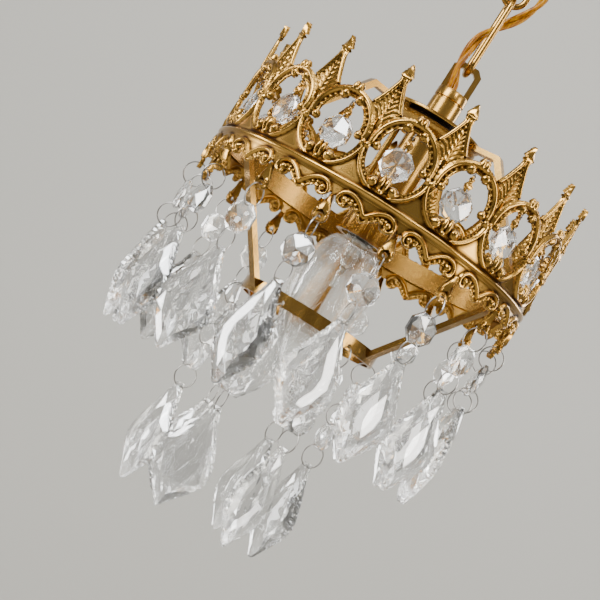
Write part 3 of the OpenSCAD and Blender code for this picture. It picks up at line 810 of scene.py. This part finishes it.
OCTAGON = octagon_mesh()
PENDANT = pendant_mesh()
RING = ring_mesh(RING_R, WIRE_R)
SMALL_RING_R = 1.5
SMALL_RING = ring_mesh(SMALL_RING_R, 0.32, 20, 8)


def string_yaws(octagons, yaw):
    """Each ring and crystal turns a little more than the one above."""
    steps = 2 * octagons + 1
    return [yaw * (i + 1) / steps for i in range(steps)]


def crystal_string(name, angle, radius, height, octagons, yaw):
    """The rings and crystals of one string node, which rides on the body of its own name."""
    glass, rings = Shape(), Shape()
    turns = [0.0] + string_yaws(octagons, yaw)
    for k in range(octagons + 1):
        rings.add(*RING, place(angle, radius, height - k * OCTAGON_STEP - RING_R, turns[2 * k]))
    for k in range(octagons):
        drop = k * OCTAGON_STEP + 2 * RING_R + SEAT + HOLE_GAP / 2
        glass.add(*OCTAGON, place(angle, radius, height - drop, turns[2 * k + 1]))
    drop = octagons * OCTAGON_STEP + 2 * RING_R + SEAT - PENDANT_HOLE
    glass.add(*PENDANT, place(angle, radius, height - drop, turns[-1]))
    glass.make(name + "_crystals", CRYSTAL, name + "_body", "crystal", smooth=False,
               replaces=(name,))
    rings.make(name + "_rings", WIRE, name + "_body", "ring_steel")


def all_strings():
    # The turns are a fixed pattern in which no two neighbours hang alike
    for k in range(UNITS):
        name = f"upper_string_{k + 1}"
        yaw = PENDANT_TURN * math.sin(math.radians(137 * k + 40))
        crystal_string(name, SPIRE_0 + k * UNIT_ANGLE, UPPER_EYE_R, UPPER_EYE_Z, 1, yaw)
    for k in range(LOWER_STRINGS):
        name = f"lower_string_{k + 1}"
        yaw = 1.3 * PENDANT_TURN * math.sin(math.radians(101 * k + 20))
        angle = LOWER_STRING_0 + 360 / LOWER_STRINGS * k
        crystal_string(name, angle, LOWER_EYE_R, LOWER_EYE_Z, 2, yaw)


all_strings()


def bail_mesh(around=20, rows=22, length=9.0):
    """Gilt bail facing X: three swellings with slanting ribs, hung from its top at the origin."""
    share = np.linspace(0, 1, rows + 1)
    half = np.interp(share, [0, 0.06, 0.2, 0.34, 0.52, 0.68, 0.8, 0.92, 1],
                     [0.1, 0.75, 1.25, 0.85, 2.05, 1.5, 0.95, 1.15, 0.1])
    points = []
    for s, radius in zip(share, half):
        turn = np.arange(around) * 2 * math.pi / around
        rib = 1 + 0.14 * np.sin(5 * turn + 16 * s)
        depth = np.minimum(radius, 1.35) * rib
        level = np.full(around, -s * length)
        points.append(np.stack([depth * np.cos(turn), radius * rib * np.sin(turn), level], 1))
    faces = []
    for i in range(rows):
        for j in range(around):
            k = (j + 1) % around
            faces.append([i * around + j, (i + 1) * around + j,
                          (i + 1) * around + k, i * around + k])
    faces.append(list(range(around)))
    faces.append(list(range(rows * around, (rows + 1) * around))[::-1])
    return np.concatenate(points), faces


# Heights below a drop's top
BAIL_TOP = 0.7
LOW_RING = 8.4
LOW_RING_END = 9.9


def medallion_drops():
    for k in range(UNITS):
        name = f"medallion_drop_{k + 1}"
        angle = MEDALLION_0 + k * UNIT_ANGLE
        glass, pin, rings = Shape(), Shape(), Shape()
        octagon_z = DROP_Z - LOW_RING_END - SEAT - HOLE_GAP / 2
        glass.add(*OCTAGON, place(angle, DROP_R, octagon_z))
        rings.add(*SMALL_RING, place(angle, DROP_R, DROP_Z - SMALL_RING_R))
        rings.add(*SMALL_RING, place(angle, DROP_R, DROP_Z - LOW_RING))
        pin.add(*bail_mesh(), place(angle, DROP_R, DROP_Z - BAIL_TOP))
        glass.make(name + "_octagon", CRYSTAL, name + "_body", "crystal", smooth=False,
                   replaces=(name,))
        pin.make(name + "_pin", AGED, name + "_body", "aged_brass")
        rings.make(name + "_rings", WIRE, name + "_body", "ring_steel")


medallion_drops()


# ---------- bulb ----------

BULB_R = 18.2
BULB_WALL = 0.7


def bulb():
    neck = -7.3
    # Radius, and height above the neck
    outside = [(6.9, 0.9), (7.6, -1), (11.6, -3.1), (14.4, -7.2), (16.5, -12), (17.8, -17.5),
               (BULB_R, -24), (17.9, -31), (16.4, -40), (13.4, -49), (9.6, -57), (6, -63.5),
               (3.4, -68.5), (1.7, -71.6), (0.02, -72.7)]
    smooth = curve_through([(r, z + neck + BEAD_Z) for r, z in outside], 5)
    smooth[:, 0] = np.clip(smooth[:, 0], 0.02, BULB_R)
    inner = smooth.copy()
    inner[:, 0] = np.maximum(0.02, inner[:, 0] - BULB_WALL)
    # The wall keeps about its thickness round the tip
    inner[-12:, 1] += np.linspace(0.1, 0.9, 12)
    shape = Shape()
    shape.add(*lathe_mesh(np.vstack([smooth, inner[::-1], smooth[:1]]), 72))
    shape.make("bulb_glass_clear", BULB, "light", "bulb_glass", sharp=60, replaces=("bulb_glass",))


def bulb_stem():
    # Radius, and height above the bead line
    stem = [(0.05, 7.4), (5.7, 7.4), (5.7, 5.6), (4.6, 3.4), (3.9, 1.0), (3.8, -13.4),
            (3.3, -14.6), (3.7, -16.2), (3.1, -17.6), (3.5, -19.0), (2.4, -20.6), (1.3, -22.0),
            (1.2, -30.6), (1.6, -31.4), (0.9, -32), (0.05, -32)]
    shape = Shape()
    shape.add(*lathe_mesh([(r, z + BEAD_Z) for r, z in stem], 32))
    shape.make("bulb_stem_glass", STEM, "light", "stem_glass", sharp=60, replaces=("bulb_stem",))
    wires = Shape()
    for side in (-1, 1):
        lead = [(2.1, 0, -17), (3.2, 0.3, -24), (6.2, 0.8, -34), (6.8, 0.8, -40)]
        path = curve_through([(side * x, side * y, z + BEAD_Z) for x, y, z in lead], 6)
        wires.add(*tube_mesh(path, 0.22, 8))
    wires.make("bulb_leads", FILAMENT, "light", "filament")
    zigzag = []
    for i in range(9):
        turn = math.radians(180 - 180 * i / 8)
        low = -40 + BEAD_Z - (9 if i % 2 else 0)
        zigzag.append((6.8 * math.cos(turn), 2.8 * math.sin(turn) - 0.8, low))
    filament = Shape()
    filament.add(*tube_mesh(curve_through(zigzag, 8), 0.12, 6))
    filament.make("bulb_filament", FILAMENT, "light", "filament")


bulb()
bulb_stem()


# ---------- carried-over CAD nodes ----------

def soften(mesh, angle=32):
    """Smooth shading across every edge flatter than the angle, also where the mesh is split."""
    corners = np.empty(len(mesh.loops), np.int32)
    mesh.loops.foreach_get("vertex_index", corners)
    places = np.empty(len(mesh.vertices) * 3)
    mesh.vertices.foreach_get("co", places)
    sizes = np.empty(len(mesh.polygons), np.int32)
    mesh.polygons.foreach_get("loop_total", sizes)
    areas = np.empty(len(mesh.polygons))
    mesh.polygons.foreach_get("area", areas)
    flat = np.empty(len(mesh.polygons) * 3)
    mesh.polygons.foreach_get("normal", flat)
    flat = flat.reshape(-1, 3)
    microns = np.round(places.reshape(-1, 3) * 1e6).astype(np.int64)
    _, spot = np.unique(microns, axis=0, return_inverse=True)
    spot = spot.reshape(-1)[corners]
    face = np.repeat(np.arange(len(sizes)), sizes)
    order = np.argsort(spot, kind="stable")
    normals = np.empty((len(corners), 3))
    for group in np.split(order, np.nonzero(np.diff(spot[order]))[0] + 1):
        own = flat[face[group]]
        near = own @ own.T > math.cos(math.radians(angle))
        normals[group] = near @ (own * np.maximum(areas[face[group]], 1e-12)[:, None])
    normals /= np.maximum(np.linalg.norm(normals, axis=1), 1e-20)[:, None]
    mesh.polygons.foreach_set("use_smooth", [True] * len(mesh.polygons))
    mesh.normals_split_custom_set(normals.tolist())


def dress(node, material):
    """Gives a CAD node its detailed material and smooth shading."""
    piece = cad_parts[node]
    piece.data.materials.clear()
    piece.data.materials.append(material)
    soften(piece.data)


for name in ["ceiling_canopy", "canopy_loop", "upper_chain_link", "lower_chain_link", "collar_loop",
             "top_plate", "lower_dish", "upper_hoop", "socket_shell"]:
    dress(name, BRASS)
for name in ["support_arms", "lower_bars", "lower_hoop"]:
    dress(name, BARS)
dress("canopy_fasteners", AGED)
dress("mounting_bracket", ZINC)
dress("cord_gland", IVORY)
dress("socket_insert", IVORY)
dress("bulb_base", NICKEL)


def dish_painted_shade():
    """Black sheet of painted shade on the dish's inside and round the tube between the dish and the
    plate.
    """
    rim = 53.1
    # Radius, and height above the dish's rim
    skin = [(5.2, -3.45), (15, -3.45), (18.6, -3.05), (21.2, -2.15), (22.3, -1.0), (22.6, -0.15),
            (22.4, -0.15), (22.1, -0.95), (21.0, -1.95), (18.5, -2.85), (16.4, -3.1), (16.4, 2.4),
            (5.2, 2.4), (5.2, -3.45)]
    shape = Shape()
    shape.add(*lathe_mesh([(r, z + rim + BEAD_Z) for r, z in skin], 96))
    shape.make("dish_painted_shade", SHADE_BLACK, "light", None, sharp=35)


dish_painted_shade()


def collar_turned():
    """The brass neck with its broken top edge and its turned groove, on the shank."""
    # Radius, and height above the collar's top
    profile = [(0.02, -0.02), (6.9, -0.02), (7.35, -0.2), (7.6, -0.6), (7.6, -4.5), (7.35, -4.75),
               (7.0, -4.85), (7.0, -5.45), (7.35, -5.55), (7.6, -5.8), (7.6, -16.98), (4.9, -16.98),
               (4.9, -27.9), (0.02, -27.9)]
    shape = Shape()
    shape.add(*lathe_mesh([(r, z + COLLAR_Z) for r, z in profile], 96))
    shape.make("collar_turned", BRASS, "light", "satin_brass", sharp=35, replaces=("collar",))


collar_turned()


# ---------- stage and light ----------

def stage_material(name, tone):
    material, nodes, links, shader = new_material(name)
    cloud = noise(nodes, links, 1.5, 2)
    light = tuple(min(1, c * 1.03) for c in tone)
    links.new(ramp(nodes, links, cloud, [(0.3, tone), (0.7, light)]), shader.inputs["Base Color"])
    shader.inputs["Roughness"].default_value = 0.9
    shader.inputs["Specular IOR Level"].default_value = 0.1
    return material


def plane(name, corners, material):
    mesh = bpy.data.meshes.new(name)
    mesh.from_pydata(corners, [], [[0, 1, 2, 3]])
    mesh.materials.append(material)
    piece = bpy.data.objects.new(name, mesh)
    bpy.context.scene.collection.objects.link(piece)


def area_light(name, place_at, target, size, power, color=(1, 1, 1)):
    data = bpy.data.lights.new(name, "AREA")
    data.shape = "RECTANGLE"
    data.size, data.size_y = size
    data.energy = power
    data.color = color
    light = bpy.data.objects.new(name, data)
    bpy.context.scene.collection.objects.link(light)
    way = (Vector(target) - Vector(place_at)).normalized()
    turn = way.to_track_quat("-Z", "Y").to_matrix().to_4x4()
    light.matrix_world = Matrix.Translation(place_at) @ turn


def studio():
    wall = stage_material("backdrop_paint", (0.437, 0.424, 0.388))
    plane("backdrop", [(-4, 1.2, -1.2), (4, 1.2, -1.2), (4, 1.2, 2.5), (-4, 1.2, 2.5)], wall)
    plane("floor", [(-4, -3, -1.2), (4, -3, -1.2), (4, 1.2, -1.2), (-4, 1.2, -1.2)], wall)
    world = bpy.data.worlds.new("studio")
    bpy.context.scene.world = world
    world.use_nodes = True
    nodes, links = world.node_tree.nodes, world.node_tree.links
    direction = nodes.new("ShaderNodeTexCoord")
    split = nodes.new("ShaderNodeSeparateXYZ")
    links.new(direction.outputs["Generated"], split.inputs["Vector"])
    share = map_range(nodes, links, split.outputs["Z"], -1, 1, 0, 1)
    sky = ramp(nodes, links, share, [(0.0, (0.06, 0.05, 0.04)), (0.40, (0.20, 0.185, 0.165)),
                                     (0.55, (0.70, 0.70, 0.69)), (0.80, (0.80, 0.80, 0.80)),
                                     (0.92, (2.4, 2.4, 2.4))])
    links.new(sky, nodes["Background"].inputs["Color"])
    nodes["Background"].inputs["Strength"].default_value = 0.42
    middle = (0, 0, -0.25)
    area_light("key", (-0.9, -0.9, 0.5), middle, (0.7, 0.7), 32, (0.97, 1.0, 1.02))
    area_light("side", (1.1, -0.5, 0.0), middle, (0.35, 1.0), 14, (1, 0.97, 0.92))
    area_light("front", (0.6, -1.3, 0.9), middle, (0.3, 0.3), 7)
    area_light("left_strip", (-1.1, 0.1, -0.4), middle, (0.2, 1.0), 10)
    area_light("right_back", (0.8, 0.8, 0.3), middle, (0.3, 0.8), 8)
    area_light("wall_wash", (0, -0.2, 1.6), (0, 1.2, -0.2), (2.0, 0.8), 32)


studio()
